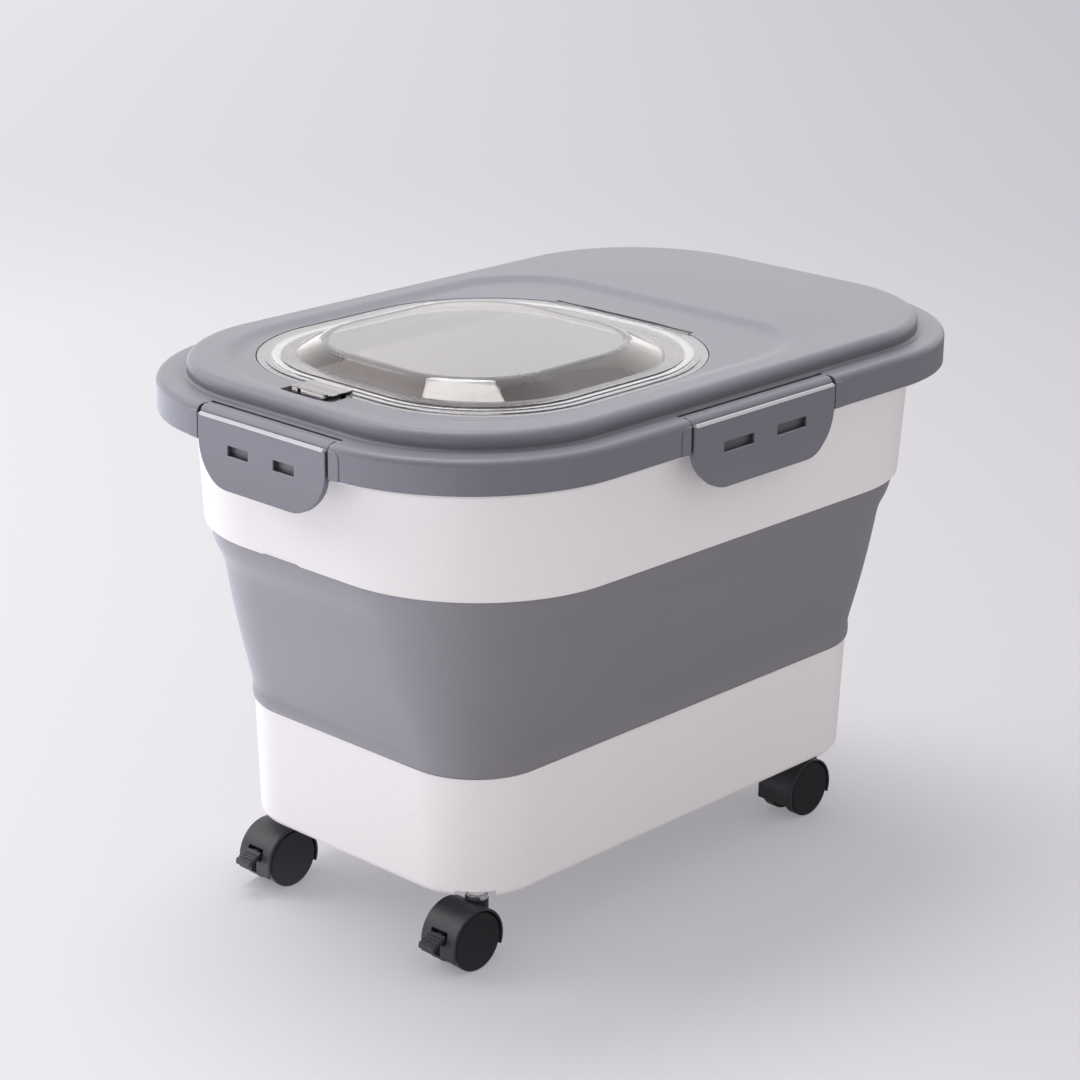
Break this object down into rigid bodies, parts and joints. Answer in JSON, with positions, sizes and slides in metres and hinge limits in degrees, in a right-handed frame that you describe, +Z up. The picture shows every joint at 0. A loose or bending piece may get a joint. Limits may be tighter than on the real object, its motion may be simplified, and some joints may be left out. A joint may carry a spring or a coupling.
{
  "type": "collapsible pet food container",
  "caption": "Rolling collapsible pet food container with a latched lid, a hinged clear window and a soft folding band.",
  "frame": {"origin": "on the floor under the middle of the container", "axes": "+X to the right seen from the window-tab end, +Y towards the rear, +Z up"},
  "size_m": [0.3044, 0.4564, 0.32],
  "materials": {
    "grey_plastic": "fine matte moulding",
    "white_plastic": "satin moulding",
    "grey_soft": "soft matte thermoplastic rubber",
    "seal_soft": "soft translucent rubber",
    "clear_plastic": "clear polished plastic",
    "black_plastic": "fine matte moulding",
    "black_wheel": "smooth satin",
    "chrome_steel": "bright plated",
    "spring_steel": "plain"
  },
  "bodies": {
    "tub": {"lower_tub": "white_plastic", "collapsible_band": "grey_soft", "stem_grip_rings": "spring_steel", "front_left_stem": "chrome_steel", "front_right_stem": "chrome_steel", "rear_left_stem": "chrome_steel", "rear_right_stem": "chrome_steel"},
    "frame": {"upper_frame": "white_plastic"},
    "lid": {"lid_shell": "grey_plastic", "lid_seal": "seal_soft", "window_seal": "seal_soft"},
    "window": {"window_cover": "clear_plastic"},
    "right_latch": {"right_latch": "grey_plastic"},
    "left_latch": {"left_latch": "grey_plastic"},
    "rear_latch": {"rear_latch": "grey_plastic"},
    "front_latch": {"front_latch": "grey_plastic"},
    "front_left_caster": {"front_left_hood": "black_plastic", "front_left_axle": "spring_steel", "front_left_brake_pin": "spring_steel"},
    "front_left_outer_wheel": {"front_left_outer_wheel": "black_wheel"},
    "front_left_inner_wheel": {"front_left_inner_wheel": "black_wheel"},
    "front_left_brake": {"front_left_brake_lever": "black_plastic"},
    "front_right_caster": {"front_right_hood": "black_plastic", "front_right_axle": "spring_steel", "front_right_brake_pin": "spring_steel"},
    "front_right_outer_wheel": {"front_right_outer_wheel": "black_wheel"},
    "front_right_inner_wheel": {"front_right_inner_wheel": "black_wheel"},
    "front_right_brake": {"front_right_brake_lever": "black_plastic"},
    "rear_left_caster": {"rear_left_hood": "black_plastic", "rear_left_axle": "spring_steel"},
    "rear_left_outer_wheel": {"rear_left_outer_wheel": "black_wheel"},
    "rear_left_inner_wheel": {"rear_left_inner_wheel": "black_wheel"},
    "rear_right_caster": {"rear_right_hood": "black_plastic", "rear_right_axle": "spring_steel"},
    "rear_right_outer_wheel": {"rear_right_outer_wheel": "black_wheel"},
    "rear_right_inner_wheel": {"rear_right_inner_wheel": "black_wheel"}
  },
  "joints": [
    {"name": "collapse", "type": "slide", "parent": "tub", "child": "frame", "axis": [0, 0, -1], "range_m": [0, 0.15], "deforming": ["collapsible_band"]},
    {"name": "lid_lift", "type": "slide", "parent": "frame", "child": "lid", "axis": [0, 0, 1], "range_m": [0, 0.1]},
    {"name": "window_hinge", "type": "hinge", "parent": "lid", "child": "window", "pos_m": [0, 0.0483, 0.3081], "axis": [-1, 0, 0], "range_deg": [0, 105]},
    {"name": "right_latch_hinge", "type": "hinge", "parent": "lid", "child": "right_latch", "pos_m": [0.141, -0.004, 0.3003], "axis": [0, -1, 0], "range_deg": [0, 95]},
    {"name": "left_latch_hinge", "type": "hinge", "parent": "lid", "child": "left_latch", "pos_m": [-0.141, -0.004, 0.3003], "axis": [0, 1, 0], "range_deg": [0, 95]},
    {"name": "rear_latch_hinge", "type": "hinge", "parent": "lid", "child": "rear_latch", "pos_m": [0, 0.217, 0.3003], "axis": [1, 0, 0], "range_deg": [0, 95]},
    {"name": "front_latch_hinge", "type": "hinge", "parent": "lid", "child": "front_latch", "pos_m": [0, -0.217, 0.3003], "axis": [-1, 0, 0], "range_deg": [0, 95]},
    {"name": "front_left_swivel", "type": "hinge", "parent": "tub", "child": "front_left_caster", "pos_m": [-0.0741, -0.1429, 0.036], "axis": [0, 0, 1], "continuous": true},
    {"name": "front_left_outer_roll", "type": "hinge", "parent": "front_left_caster", "child": "front_left_outer_wheel", "pos_m": [-0.0741, -0.1539, 0.0168], "axis": [1, 0, 0], "continuous": true},
    {"name": "front_left_inner_roll", "type": "hinge", "parent": "front_left_caster", "child": "front_left_inner_wheel", "pos_m": [-0.0741, -0.1539, 0.0168], "axis": [1, 0, 0], "continuous": true},
    {"name": "front_left_brake_press", "type": "hinge", "parent": "front_left_caster", "child": "front_left_brake", "pos_m": [-0.0741, -0.1659, 0.0208], "axis": [1, 0, 0], "range_deg": [0, 15]},
    {"name": "front_right_swivel", "type": "hinge", "parent": "tub", "child": "front_right_caster", "pos_m": [0.0741, -0.1429, 0.036], "axis": [0, 0, 1], "continuous": true},
    {"name": "front_right_outer_roll", "type": "hinge", "parent": "front_right_caster", "child": "front_right_outer_wheel", "pos_m": [0.0741, -0.1539, 0.0168], "axis": [1, 0, 0], "continuous": true},
    {"name": "front_right_inner_roll", "type": "hinge", "parent": "front_right_caster", "child": "front_right_inner_wheel", "pos_m": [0.0741, -0.1539, 0.0168], "axis": [1, 0, 0], "continuous": true},
    {"name": "front_right_brake_press", "type": "hinge", "parent": "front_right_caster", "child": "front_right_brake", "pos_m": [0.0741, -0.1659, 0.0208], "axis": [1, 0, 0], "range_deg": [0, 15]},
    {"name": "rear_left_swivel", "type": "hinge", "parent": "tub", "child": "rear_left_caster", "pos_m": [-0.0741, 0.1429, 0.036], "axis": [0, 0, 1], "continuous": true},
    {"name": "rear_left_outer_roll", "type": "hinge", "parent": "rear_left_caster", "child": "rear_left_outer_wheel", "pos_m": [-0.0741, 0.1319, 0.0168], "axis": [1, 0, 0], "continuous": true},
    {"name": "rear_left_inner_roll", "type": "hinge", "parent": "rear_left_caster", "child": "rear_left_inner_wheel", "pos_m": [-0.0741, 0.1319, 0.0168], "axis": [1, 0, 0], "continuous": true},
    {"name": "rear_right_swivel", "type": "hinge", "parent": "tub", "child": "rear_right_caster", "pos_m": [0.0741, 0.1429, 0.036], "axis": [0, 0, 1], "continuous": true},
    {"name": "rear_right_outer_roll", "type": "hinge", "parent": "rear_right_caster", "child": "rear_right_outer_wheel", "pos_m": [0.0741, 0.1319, 0.0168], "axis": [1, 0, 0], "continuous": true},
    {"name": "rear_right_inner_roll", "type": "hinge", "parent": "rear_right_caster", "child": "rear_right_inner_wheel", "pos_m": [0.0741, 0.1319, 0.0168], "axis": [1, 0, 0], "continuous": true}
  ]
}
